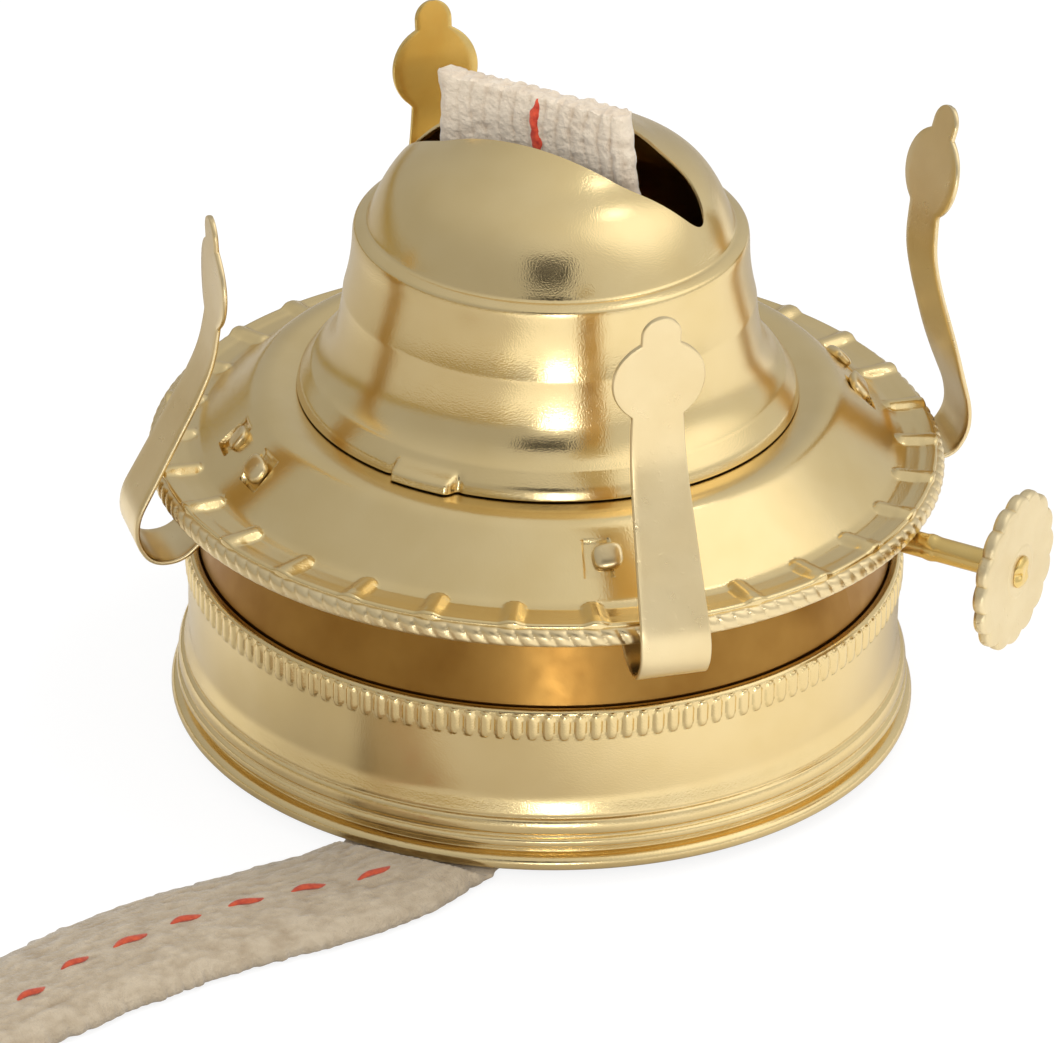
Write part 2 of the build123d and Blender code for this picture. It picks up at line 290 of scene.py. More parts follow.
def cotton(name, deep, middle, pale, patchy):
    """Undyed cotton, dark with painted shade between the yarns and pale on them, with a fine fibre bump and
    sheen.
    """
    material, nodes, links, shader = blank_material(name)
    shader.inputs["Roughness"].default_value = 0.95
    shader.inputs["Sheen Weight"].default_value = 0.35
    shader.inputs["Sheen Roughness"].default_value = 0.5
    shader.inputs["Specular IOR Level"].default_value = 0.15
    depth = nodes.new("ShaderNodeAttribute")
    depth.attribute_name = "depth"
    patches = noise_node(nodes, links, 420.0, 3.0)
    shift = range_node(nodes, links, patches, -patchy, patchy)
    mixed = nodes.new("ShaderNodeMath")
    mixed.operation = "ADD"
    links.new(depth.outputs["Fac"], mixed.inputs[0])
    links.new(shift, mixed.inputs[1])
    colour = ramp_node(nodes, links, mixed.outputs[0], [(0.0, deep), (0.75, pale), (0.35, middle)])
    links.new(colour, shader.inputs["Base Color"])
    fibres = noise_node(nodes, links, 2600.0, 4.0)
    normal = bump_node(nodes, links, fibres, 0.00022)
    links.new(normal, shader.inputs["Normal"])
    return material


def thread(name, light, dark):
    """Dyed red thread with twisted plies."""
    material, nodes, links, shader = blank_material(name)
    shader.inputs["Roughness"].default_value = 0.85
    shader.inputs["Sheen Weight"].default_value = 0.3
    plies = noise_node(nodes, links, 1500.0, 3.0)
    links.new(ramp_node(nodes, links, plies, [(0.3, dark), (0.65, light)]), shader.inputs["Base Color"])
    fibres = noise_node(nodes, links, 4000.0, 3.0)
    links.new(bump_node(nodes, links, fibres, 0.00008), shader.inputs["Normal"])
    return material


def cloth(name, dark, light):
    """A matt cloth of the studio's, with a slow change of tone."""
    material, nodes, links, shader = blank_material(name)
    shader.inputs["Roughness"].default_value = 0.9
    tone = ramp_node(nodes, links, noise_node(nodes, links, 20.0), [(0.3, dark), (0.7, light)])
    links.new(tone, shader.inputs["Base Color"])
    return material


def backdrop(name):
    """Paper that the camera sees as plain white, with hardly a shadow. Lit, as the brass reflects it, it is
    tan with painted shade, and painted light makes it white on the right and in a patch near the left."""
    material, nodes, links, shader = blank_material(name)
    shader.inputs["Roughness"].default_value = 0.9
    place = nodes.new("ShaderNodeTexCoord")
    split = nodes.new("ShaderNodeSeparateXYZ")
    links.new(place.outputs["Object"], split.inputs["Vector"])
    # Seen by reflections and by the light it sends on, the paper is tan as painted shade, with painted light
    # that makes it white to the right and near the left.
    across = range_node(nodes, links, split.outputs["X"], 0.0, 1.0, 0.028, 0.05)
    near_left = nodes.new("ShaderNodeVectorMath")
    near_left.operation = "DISTANCE"
    near_left.inputs[1].default_value = (-0.07, -0.01, FLOOR_Z * MM)
    links.new(place.outputs["Object"], near_left.inputs[0])
    painted_light_near_left = range_node(nodes, links, near_left.outputs["Value"], 1.0, 0.0, 0.03, 0.06)
    painted_light_share = nodes.new("ShaderNodeMath")
    painted_light_share.operation = "MAXIMUM"
    links.new(across, painted_light_share.inputs[0])
    links.new(painted_light_near_left, painted_light_share.inputs[1])
    tan = (0.52, 0.495, 0.46)
    pale = (0.92, 0.91, 0.89)
    tone = ramp_node(nodes, links, painted_light_share.outputs[0], [(0.0, tan), (1.0, pale)])
    links.new(tone, shader.inputs["Base Color"])
    white = nodes.new("ShaderNodeEmission")
    white.inputs["Strength"].default_value = 0.86
    shaded = nodes.new("ShaderNodeBsdfDiffuse")
    drift = noise_node(nodes, links, 6.0)
    shade_tone = ramp_node(nodes, links, drift, [(0.3, (0.17,) * 3), (0.7, (0.18,) * 3)])
    links.new(shade_tone, shaded.inputs["Color"])
    paper = nodes.new("ShaderNodeAddShader")
    links.new(white.outputs["Emission"], paper.inputs[0])
    links.new(shaded.outputs["BSDF"], paper.inputs[1])
    path = nodes.new("ShaderNodeLightPath")
    mix = nodes.new("ShaderNodeMixShader")
    links.new(path.outputs["Is Camera Ray"], mix.inputs["Fac"])
    links.new(shader.outputs["BSDF"], mix.inputs[1])
    links.new(paper.outputs["Shader"], mix.inputs[2])
    links.new(mix.outputs["Shader"], nodes["Material Output"].inputs["Surface"])
    return material


PLATED = brass("plated_brass", (0.84, 0.67, 0.36), (0.80, 0.625, 0.315), 0.19, 0.000014)
STAMPED = brass("stamped_brass", (0.85, 0.70, 0.42), (0.80, 0.64, 0.36), 0.30, 0.000005, 0.00001)
WHEEL = brass("thumb_wheel_brass", (0.84, 0.71, 0.45), (0.79, 0.655, 0.40), 0.42, 0.000006, 0.00003)
# On the back prong this golden tone is a painted reflection; that prong is the same stamped brass as the
# others.
GOLDEN = brass("golden_brass", (0.84, 0.63, 0.25), (0.75, 0.52, 0.17), 0.24, 0.000003)
# Brass for the inner parts, made far darker than brass is, as painted shade for the parts within the burner.
PLAIN_BRASS_PAINTED_SHADE = brass("plain_brass", (0.43, 0.235, 0.058), (0.33, 0.165, 0.036), 0.33, 0.000004)
COTTON = cotton("cotton_wick", (0.30, 0.19, 0.11), (0.58, 0.465, 0.345), (0.74, 0.64, 0.51), 0.16)
TAIL_COTTON = cotton("cotton_tail", (0.23, 0.165, 0.10), (0.345, 0.275, 0.19), (0.45, 0.375, 0.275), 0.08)
RED = thread("red_tracer", (0.80, 0.10, 0.045), (0.48, 0.035, 0.02))
TAIL_RED = thread("red_tail_tracer", (0.50, 0.075, 0.028), (0.34, 0.04, 0.018))


# Camera, light and floor -------------------------------------------------------------------


def view_axes():
    """The directions back to the camera, to its right and up."""
    azimuth = radians(CAMERA_AZIMUTH)
    elevation = radians(CAMERA_ELEVATION)
    back = Vector((sin(azimuth) * cos(elevation), -cos(azimuth) * cos(elevation), sin(elevation)))
    right = Vector((cos(azimuth), sin(azimuth), 0.0))
    return back, right, back.cross(right)


def add_camera():
    back, right, up = view_axes()
    data = bpy.data.cameras.new("camera")
    data.lens = CAMERA_LENS
    data.clip_start = 0.01
    camera = bpy.data.objects.new("camera", data)
    aim = Vector((0.0, 0.0, AIM_HEIGHT)) + right * AIM_RIGHT + up * AIM_UP
    facing = Matrix((right, up, back)).transposed().to_4x4()
    roll = Matrix.Rotation(radians(CAMERA_ROLL), 4, "Z")
    camera.matrix_world = Matrix.Translation(aim + back * CAMERA_DISTANCE) @ facing @ roll
    bpy.context.scene.collection.objects.link(camera)
    bpy.context.scene.camera = camera


def direction(azimuth, elevation):
    """A unit vector; azimuth 0 is in front, at -Y, and 90 is at +X."""
    a = radians(azimuth)
    e = radians(elevation)
    return Vector((sin(a) * cos(e), -cos(a) * cos(e), sin(e)))


def add_panel(name, azimuth, elevation, distance, size, power, seen_in_brass=True):
    """A soft rectangular light that faces the burner."""
    data = bpy.data.lights.new(name, "AREA")
    data.shape = "RECTANGLE"
    data.size, data.size_y = size
    data.energy = power
    panel = bpy.data.objects.new(name, data)
    away = direction(azimuth, elevation)
    panel.location = Vector((0.0, 0.0, 0.03)) + away * distance
    panel.rotation_mode = "QUATERNION"
    panel.rotation_quaternion = away.to_track_quat("Z", "Y")
    panel.visible_glossy = seen_in_brass
    bpy.context.scene.collection.objects.link(panel)


def add_glow(nodes, links, place, total, azimuth, elevation, start, end, strength):
    """Adds to total a soft glow that fades in from start to end, as cosines from its middle."""
    dot = nodes.new("ShaderNodeVectorMath")
    dot.operation = "DOT_PRODUCT"
    links.new(place, dot.inputs[0])
    dot.inputs[1].default_value = direction(azimuth, elevation)
    glow = nodes.new("ShaderNodeMapRange")
    glow.interpolation_type = "SMOOTHSTEP"
    for socket, number in zip(("From Min", "From Max", "To Min", "To Max"), (start, end, 0.0, strength)):
        glow.inputs[socket].default_value = number
    links.new(dot.outputs["Value"], glow.inputs["Value"])
    added = nodes.new("ShaderNodeMath")
    added.operation = "ADD"
    links.new(glow.outputs["Result"], added.inputs[0])
    if total is None:
        added.inputs[1].default_value = ROOM_LIGHT
    else:
        links.new(total, added.inputs[1])
    return added.outputs[0]


def add_world():
    """A pale studio with soft glows, that the camera sees as plain white."""
    world = bpy.data.worlds.new("studio")
    world.use_nodes = True
    bpy.context.scene.world = world
    nodes = world.node_tree.nodes
    links = world.node_tree.links
    room = nodes["Background"]
    room.inputs["Color"].default_value = (1.0, 0.985, 0.955, 1.0)
    place = nodes.new("ShaderNodeTexCoord").outputs["Generated"]
    total = None
    for glow in ROOM_GLOWS:
        total = add_glow(nodes, links, place, total, *glow)
    links.new(total, room.inputs["Strength"])
    white = nodes.new("ShaderNodeBackground")
    white.inputs["Color"].default_value = (1.0, 1.0, 1.0, 1.0)
    path = nodes.new("ShaderNodeLightPath")
    mix = nodes.new("ShaderNodeMixShader")
    links.new(path.outputs["Is Camera Ray"], mix.inputs["Fac"])
    links.new(room.outputs["Background"], mix.inputs[1])
    links.new(white.outputs["Background"], mix.inputs[2])
    links.new(mix.outputs["Shader"], nodes["World Output"].inputs["Surface"])


def stage_sheet(name, points, faces, material):
    """A flat or curved sheet of the studio, which isn't part of the burner."""
    mesh = bpy.data.meshes.new(name)
    mesh.from_pydata((np.array(points) * MM).tolist(), [], faces)
    mesh.materials.append(material)
    sheet = bpy.data.objects.new(name, mesh)
    bpy.context.scene.collection.objects.link(sheet)
    return sheet


def show_in_brass_only(sheet):
    """Leaves a sheet to reflections, out of the picture, the soft light and the shadows."""
    sheet.visible_camera = False
    sheet.visible_diffuse = False
    sheet.visible_shadow = False


def add_dark_card():
    """A dark card beside the camera, which the polished dome reflects as a small soft dark spot."""
    half_width = 160.0
    half_height = 130.0
    away = 780.0
    facing = direction(CAMERA_AZIMUTH, 31.0)
    side = direction(CAMERA_AZIMUTH + 90.0, 0.0)
    rise = facing.cross(side)
    signs = ((-1.0, -1.0), (1.0, -1.0), (1.0, 1.0), (-1.0, 1.0))
    corners = [facing * away + side * half_width * x + rise * half_height * z for x, z in signs]
    black_cloth = cloth("dark_card_cloth", (0.02, 0.02, 0.02), (0.035, 0.03, 0.03))
    show_in_brass_only(stage_sheet("dark_card", corners, [(0, 1, 2, 3)], black_cloth))


def add_low_cloth():
    """A low strip of ochre cloth round the left, which the collar reflects as a golden band."""
    away = 700.0
    height = 78.0
    line = [direction(azimuth, 0.0) * away for azimuth in np.linspace(-135.0, 10.0, 15)]
    rows = np.array([[place + Vector((0.0, 0.0, z)) for place in line] for z in (0.0, height)])
    ochre_cloth = cloth("ochre_cloth", (0.36, 0.27, 0.07), (0.40, 0.30, 0.08))
    faces = skin(rows, wrap_columns=False)
    show_in_brass_only(stage_sheet("low_cloth", rows.reshape(-1, 3), faces, ochre_cloth))


def add_floor():
    size = 900.0
    corners = [(x * size, y * size, FLOOR_Z) for x, y in ((-1, -1), (1, -1), (1, 1), (-1, 1))]
    stage_sheet("floor", corners, [(0, 1, 2, 3)], backdrop("floor_paper"))


def light_scene():
    add_world()
    add_floor()
    add_dark_card()
    add_low_cloth()
    add_panel("flash", 34.0, 1.5, 0.9, (0.2, 0.045), 0.6)
    add_panel("overhead_lamp", 142.0, 67.0, 0.6, (0.12, 0.07), 0.06)
    add_panel("front_fill", 8.0, 34.0, 0.8, (0.4, 0.3), 2.9, False)
    add_panel("back_fill", 128.0, 58.0, 0.8, (0.5, 0.4), 1.9, False)
    bpy.context.scene.view_settings.view_transform = "Standard"


# Collar ------------------------------------------------------------------------------------


def make_collar():
    ribs = 146
    columns_per_rib = 10
    rib_height = 0.30
    band_middle = 15.5
    band_half = 1.42
    wall_r = 35.4
    outside = [
        (35.4, 0.0, 0.1), (35.6, 0.35, 0.15), (36.8, 0.38, 0.35), (37.25, 0.85, 0.4), (37.2, 1.5, 0.4),
        (36.8, 1.88, 0.25), (36.0, 2.05, 0.1), (36.0, 2.7, 0.1), (36.6, 2.85, 0.2), (36.72, 3.1, 0.25),
        (36.66, 3.6, 0.2), (36.28, 3.8, 0.08), (36.28, 4.08, 0.08), (36.52, 4.3, 0.25), (36.5, 5.0, 0.4),
        (36.3, 5.55, 0.2), (35.93, 5.72, 0.08), (35.95, 6.0, 0.2), (35.5, 7.6, 0.5), (35.5, 13.0, 0.5),
        (35.52, 16.95, 0.25),
        (35.2, 17.25, 0.15), (34.62, 17.15, 0.1), (34.6, 16.7, 0.1), (34.9, 16.3, 0.1), (34.9, 0.0, 0.1),
    ]
    outline = dense(rounded(outside, 0.3, closed=True), 0.8, closed=True)
    rows = []
    for i, (r, z) in enumerate(outline):
        rows.append((r, z))
        following = outline[(i + 1) % len(outline)]
        if r > wall_r and 12.9 < z < 17.0 and following[1] > z:
            rows += [tuple(np.array((r, z)) + (following - (r, z)) * k / 6) for k in (1, 2, 3, 4, 5)]

    def milling(angle, r, z):
        across = np.abs((angle * ribs / (2 * pi)) % 1.0 - 0.5) * 2.0
        along = np.abs(z - band_middle) / band_half
        pillow = np.sqrt(np.clip(1.0 - (across / 0.68) ** 2.4 - along**4, 0.0, 1.0))
        return rib_height * pillow * (r > wall_r), 0.0 * z

    grid = turned(np.array(rows), ribs * columns_per_rib, milling)
    new_piece("collar", grid, skin(grid, wrap_rows=True), "base", PLATED, ["font_collar"])


# Gallery -----------------------------------------------------------------------------------

PLEATS = 30
GALLERY_COLUMNS = 1440
SEAT_Z = 28.3


def plate_top(r):
    """Height of the plate's upper face, without its pleats."""
    profile = rounded(
        [(20.0, 33.9), (24.0, 33.93, 0.3), (25.1, 34.05, 0.5), (27.3, 34.35, 0.6), (28.8, 34.1, 1.2),
         (34.7, SEAT_Z, 0.7), (40.0, SEAT_Z)],
        0.5,
    )
    return np.interp(r, profile[:, 0], profile[:, 1])


def pleat_ridge(angle):
    """1 on a pleat's ridge and 0 on the flat panel between two ridges."""
    turn = (angle * PLEATS / (2 * pi)) % 1.0
    from_ridge = np.abs(turn - 0.5) * 2.0
    return 1.0 - blend_in(from_ridge, 0.05, 0.36)


def pleat_lift(angle, r):
    """How far the pleats lift the plate: their ridges run level into its slope."""
    edge = blend_in(r, 37.4, 38.45)
    ridge = pleat_ridge(angle) * blend_in(r, 33.9, 35.1)
    level = SEAT_Z + 0.5 * ridge * (1.0 - 0.15 * edge) + 0.08 * (1.0 - ridge) * edge
    level = level - 0.10 * (1.0 - ridge) * blend_in(r, 34.9, 35.6) * (1.0 - blend_in(r, 36.8, 37.6))
    plain = plate_top(r)
    lift = np.maximum(level, plain) - plain + np.minimum(level - SEAT_Z, 0.0)
    return np.where(r > 33.0, lift, 0.0)


def ear_pockets(angle, r):
    """How deep the plate is cut beside the prongs' ears; the prong's own foot closes each cut."""
    depth = 0.0 * (r + angle)
    for prong_angle, shift in zip(PRONG_ANGLES, PRONG_EAR_SHIFTS):
        ears_angle = prong_angle + np.degrees(shift / PRONG_HINGE_R)
        turn = (np.degrees(angle) - ears_angle + 180.0) % 360.0 - 180.0
        before = blend_in(turn, -10.4, -10.1) * (1.0 - blend_in(turn, -5.6, -5.3))
        after = blend_in(turn, 3.2, 3.5) * (1.0 - blend_in(turn, 8.4, 8.7))
        radial = blend_in(r, 29.95, 30.15) * (1.0 - blend_in(r, 32.6, 32.8))
        depth = np.maximum(depth, (0.3 + 0.24 * (r - 30.0)) * radial * np.maximum(before, after))
    return depth


def make_gallery_plate():
    radii = np.concatenate([
        np.linspace(21.0, 29.8, 24), np.linspace(29.95, 30.2, 6), np.linspace(30.5, 32.4, 7),
        np.linspace(32.6, 32.85, 6), np.linspace(33.1, 35.6, 16), np.linspace(35.8, 38.3, 16), [38.45],
    ])
    angles = np.arange(GALLERY_COLUMNS) * 2 * pi / GALLERY_COLUMNS
    r = np.repeat(radii[:, None], GALLERY_COLUMNS, axis=1)
    r = r + blend_in(r, 37.4, 38.45) * (0.16 * pleat_ridge(angles)[None, :] - 0.05)
    sheet_top = plate_top(r) + pleat_lift(angles[None, :], r)
    top = sheet_top - ear_pockets(angles[None, :], r)
    upper = np.stack([r * np.cos(angles), r * np.sin(angles), top], axis=-1)
    bottom = np.minimum(sheet_top - SHEET, top - 0.15)
    lower = np.stack([r * np.cos(angles), r * np.sin(angles), bottom], axis=-1)
    edge = upper[-1]
    lips = []
    for out, height in ((0.14, edge[:, 2] - 0.08), (0.22, edge[:, 2] - 0.24), (0.20, 27.85)):
        lip = edge.copy()
        lip[:, :2] *= 1.0 + out / 38.5
        lip[:, 2] = np.minimum(height, edge[:, 2] - 0.05)
        lips.append(lip)
    loop = np.concatenate([upper, np.array(lips), lower[::-1]])
    new_piece("gallery_plate_pressed", loop, skin(loop, wrap_rows=True), "gallery", PLATED,
              ["gallery_plate"])


def make_corded_rim():
    strands = 150
    columns_per_strand = 10
    outline = rounded(
        [(38.1, 26.5, 0.2), (38.45, 26.2, 0.25), (39.0, 26.2, 0.35), (39.35, 26.6, 0.4), (39.35, 27.4, 0.5),
         (39.0, 27.95, 0.4), (38.5, 28.02, 0.1), (38.1, 27.95, 0.1)],
        0.3, closed=True, steps=6,
    )
    outline = dense(outline, 0.3, closed=True)

    def cord(angle, r, z):
        turn = (angle * strands / (2 * pi) + (z - 27.0) * 0.36) % 1.0
        strand = np.sqrt(1.0 - 0.98 * (2.0 * turn - 1.0) ** 2)
        outer = blend_in(r, 38.45, 38.85) * blend_in(z, 26.2, 26.7)
        return 0.30 * (strand - 0.85) * outer, 0.0 * z

    grid = turned(outline, strands * columns_per_strand, cord)
    new_piece("corded_edge", grid, skin(grid, wrap_rows=True), "gallery", STAMPED,
              ["corded_rim"])


# Dome --------------------------------------------------------------------------------------

DOME_SPHERE_R = 20.3
DOME_SPHERE_Z = 42.6
CAP_FOOT_R = 17.75
SLOT_HALF_LENGTH = 16.4
SLOT_HALF_WIDTH = 5.4
LUG_ANGLES = (-90.0, 90.0)


def cap_top(r, inset=0.0):
    """Height of the domed top: a sphere that bulges a little above its foot."""
    swell = np.where(r < 15.3, blend_in(r, 10.0, 15.3), 1.0 - ((r - 15.3) / 2.64) ** 2)
    return DOME_SPHERE_Z + np.sqrt((DOME_SPHERE_R - inset) ** 2 - r**2) + 1.1 * swell


def dome_wall():
    """The wall's outline of (radius, height), downwards, from how far it tips up at each height."""
    heights = (51.0, 50.0, 44.7, 44.3, 40.3, 38.6, 37.4, 36.6)
    tips = (4.0, 2.0, 15.0, 5.0, 14.0, 27.0, 42.0, 60.0)
    step = 0.12
    z = np.arange(heights[0], heights[-1], -step)
    tip = np.radians(np.interp(-z, [-h for h in heights], tips))
    return np.stack([19.35 + np.cumsum(np.tan(tip)) * step, z], axis=1)


def make_dome():
    columns = 960
    theta = np.arange(columns) * 2 * pi / columns
    wall = dome_wall()
    foot = rounded([(22.3, 34.2), (24.3, 34.14, 0.1), (24.78, 34.14, 0.12), (24.5, 35.2, 0.3),
                    (24.05, 35.8, 0.5), tuple(wall[-1])], 0.3, steps=5)
    shoulder = rounded([tuple(wall[0]), (19.25, 51.6, 0.6), (18.5, 51.95, 0.3), (17.98, 52.05, 0.3),
                        (CAP_FOOT_R, cap_top(CAP_FOOT_R))], 0.3, steps=6)
    outside = np.concatenate([dense(foot, 0.25), wall[::-1][1:], shoulder[1:]])
    rings = [turned(outside, columns, lug_relief)]
    rings.append(dome_cap(theta, 0.0, (np.arange(1, 41) / 40.0) ** 1.15))
    lip_z = -0.25
    for inward, down in ((0.10, lip_z * 0.35), (0.16, lip_z), (0.10, lip_z * 1.65)):
        ring = dome_cap(theta, 0.0, np.array([1.0]))
        ring[0, :, 0] *= 1.0 - inward / SLOT_HALF_LENGTH
        ring[0, :, 1] *= 1.0 - inward / SLOT_HALF_WIDTH
        ring[0, :, 2] += down
        rings.append(ring)
    rings.append(dome_cap(theta, SHEET, np.linspace(1.0, 0.05, 16)))
    inside = np.concatenate([[(18.7, 51.3)], wall[4::4] - (SHEET, 0.0), [(22.3, 35.2)]])
    rings.append(turned(inside, columns))
    grid = np.concatenate(rings)
    new_piece("slotted_dome", grid, skin(grid, wrap_rows=True), "gallery", PLATED, ["dome"])


def dome_cap(theta, inset, shares):
    """Rings on the domed top between its foot and the slot."""
    share = shares[:, None]
    x = (CAP_FOOT_R * (1 - share) + SLOT_HALF_LENGTH * share) * np.cos(theta)
    y = (CAP_FOOT_R * (1 - share) + SLOT_HALF_WIDTH * share) * np.sin(theta)
    return np.stack([x, y, cap_top(np.hypot(x, y), inset)], axis=-1)


def lug_relief(angle, r, z):
    """Two places where the dome's flange is pinched out and down on to the plate."""
    out = 0.0 * (r + angle)
    for lug_angle in LUG_ANGLES:
        turn = np.abs((np.degrees(angle) - lug_angle + 180.0) % 360.0 - 180.0)
        side = 1.0 - blend_in(turn, 6.2, 8.0)
        skirt = blend_in(r, 23.2, 24.3) * blend_in(-z, -36.1, -34.9)
        fold = np.exp(-(((turn - 7.3) / 0.55) ** 2)) - 0.5 * np.exp(-(((turn - 8.7) / 0.7) ** 2))
        out = out + skirt * (1.25 * side + 0.35 * fold)
    return out, 0.13 * out


# Prongs ------------------------------------------------------------------------------------

def prong_line(loop_shift, head_shift):
    """The strap's centreline in (radius, height), from its foot, round its loop, to its tip."""
    loop_z = 28.0
    head_z = 51.0
    line = [(36.0, 24.4), (38.6, 21.9), (41.6, 21.9), (43.1, 24.4), (43.0, 27.0)]
    line += [(40.4, 32.2), (36.7, 39.7), (35.2, 43.4), (34.5, 48.0), (34.4, 52.0), (34.8, 59.5)]
    shifted = [(31.0, 30.4)]
    for r, z in line:
        share = max((z - loop_z) / (head_z - loop_z), 0.0)
        out = loop_shift[0] + (head_shift[0] - loop_shift[0]) * share
        rise = loop_shift[1] + (head_shift[1] - loop_shift[1]) * share
        shifted.append((r + out, z + rise))
    return rounded(shifted, 6.0, steps=14)


def prong_half_width(z, head_z):
    """Half the strap's width at a height on its outer leg: a taper, a round head and a top lobe."""
    head_r = 4.55
    lobe_r = 1.95
    lobe_z = head_z + 5.1
    stem = np.interp(z, [27.0, head_z - 3.6], [3.5, 2.55])
    stem = np.where(z > head_z, 0.0, stem)
    head = np.sqrt(np.clip(head_r**2 - (z - head_z) ** 2, 0.0, None))
    lobe = np.where(z > lobe_z, np.sqrt(np.clip(lobe_r**2 - (z - lobe_z) ** 2, 0.0, None)), lobe_r)
    lobe = np.where(z > head_z, lobe, 0.0)
    return np.maximum(np.maximum(stem, head), lobe)


def strap_section(half_width, thickness):
    """Points round a strap's section: (side, out), with rounded edges."""
    half = thickness / 2
    across = np.linspace(-1.0, 1.0, 9)
    side = np.maximum(half_width - half * 0.8, 0.0)
    front = [(x * side, half) for x in across]
    bend = [radians(d) for d in (60.0, 30.0, 0.0, -30.0, -60.0)]
    right = [(side + 0.8 * half * cos(a) * min(1.0, half_width / half), half * sin(a)) for a in bend]
    back = [(x * side, -half) for x in across[::-1]]
    left = [(-s, -o) for s, o in right]
    return np.array(front + right + back + left)


def plate_normal_tilt():
    """Angle of the plate's slope at the ears, in radians."""
    return np.arctan2(plate_top(30.3) - plate_top(32.3), 2.0)


def ear_block(side):
    """A clinched ear: a rounded lump that comes up through its hole and lies on the plate's slope."""
    steps = 18
    u = np.linspace(0.0, 2 * pi, 2 * steps, endpoint=False)
    v = np.linspace(-pi / 2, pi / 2, steps)
    power = 0.68

    def squared(value):
        return np.sign(value) * np.abs(value) ** power

    x = squared(np.cos(v))[:, None] * squared(np.cos(u))[None, :] * 1.25
    y = squared(np.cos(v))[:, None] * squared(np.sin(u))[None, :] * 1.4
    z = squared(np.sin(v))[:, None] * np.ones_like(u)[None, :] * 0.62
    z = z - 0.22 * (y * np.sign(side)) - 0.1 * x
    tilt = plate_normal_tilt()
    r = PRONG_HINGE_R + x * np.cos(tilt) + z * np.sin(tilt)
    height = plate_top(PRONG_HINGE_R) + 0.1 - x * np.sin(tilt) + z * np.cos(tilt)
    return np.stack([r, y + side, height], axis=-1)


def make_prong(number):
    angle = radians(PRONG_ANGLES[number - 1])
    head_shift = PRONG_HEAD_SHIFTS[number - 1]
    head_z = 51.3 + head_shift[1]
    top_z = head_z + 5.1 + 1.95
    line = resampled(prong_line(PRONG_LOOP_SHIFTS[number - 1], head_shift), 700)
    last = int(np.argmax(line[:, 1] > top_z))
    body_part = resampled(line[: last - 40], 150)
    tip_part = resampled(line[last - 41 : last], 60)
    line = np.concatenate([body_part, tip_part[1:]])
    step = np.gradient(line, axis=0)
    step /= np.linalg.norm(step, axis=1)[:, None]
    outer_leg = np.arange(len(line)) > np.argmax(line[:, 0])
    widths = np.where(outer_leg, prong_half_width(line[:, 1], head_z), 3.5)
    middle_z = 40.0
    rows = []
    for (r, z), (dr, dz), half in zip(line, step, widths):
        section = strap_section(max(half, 0.02), SHEET)
        lean = PRONG_LEANS[number - 1] * (z - middle_z) / (18.0)
        twist = PRONG_TWISTS[number - 1] * blend_in(z, 24.0, 36.0)
        rows.append([(r + twist * s + o * dz, s + lean, z - o * dr) for s, o in section])
    grid = np.array(rows)
    width = grid.shape[1]
    faces = skin(grid)
    faces.append(tuple(range(width)))
    faces.append(tuple((len(grid) - 1) * width + k for k in range(width)))
    points = [grid.reshape(-1, 3)]
    shift = PRONG_EAR_SHIFTS[number - 1]
    for side in (-3.3, 3.3):
        lump = ear_block(side)
        lump[..., 0] -= shift**2 / (2.0 * PRONG_HINGE_R)
        lump[..., 1] += shift
        start = sum(len(p) for p in points)
        faces += [tuple(start + k for k in quad) for quad in skin(lump)]
        points.append(lump.reshape(-1, 3))
    local = np.concatenate(points)
    x = local[:, 0] * cos(angle) - local[:, 1] * sin(angle)
    y = local[:, 0] * sin(angle) + local[:, 1] * cos(angle)
    world = np.stack([x, y, local[:, 2]], axis=1)
    # The back prong's golden brass is a painted reflection.
    new_piece(f"prong_{number}_strap", world, faces, f"prong_{number}",
              GOLDEN if number == 4 else STAMPED, [f"chimney_prong_{number}"], sharp=50.0)


# Spindle and thumb wheel -------------------------------------------------------------------


def along_x(grid, y, z):
    """A grid turned about Z, laid along X instead, on the line at y and z."""
    return np.stack([grid[..., 2], grid[..., 0] + y, grid[..., 1] + z], axis=-1)


def make_spindle():
    end = THUMB_X + 1.5
    outline = rounded(
        [(0.01, -12.4), (1.0, -12.4, 0.2), (1.225, -12.1, 0.2), (1.225, 39.4, 0.3), (1.26, 39.8, 0.3),
         (1.26, 40.5, 0.3), (1.225, 40.9, 0.3), (1.225, end, 0.05), (1.62, end + 0.02, 0.1),
         (1.6, end + 0.28, 0.25), (1.1, end + 0.62, 0.3), (0.5, end + 0.56, 0.2), (0.01, end + 0.52)],
        0.2,
    )

    def staking(angle, r, x):
        split = np.abs(np.cos(angle)) ** 10 * blend_in(x, end + 0.05, end + 0.35) * blend_in(r, 0.5, 0.95)
        pinch = np.exp(-(((x - 40.1) / 0.5) ** 2)) * np.abs(np.sin(angle)) ** 6 * (r > 1.1)
        return -0.32 * split + 0.16 * pinch, -0.32 * split

    grid = along_x(turned(dense(outline, 1.5), 96, staking), SPINDLE_Y, SPINDLE_Z)
    new_piece("spindle_rod", grid, skin(grid), "spindle", GOLDEN, ["spindle"])


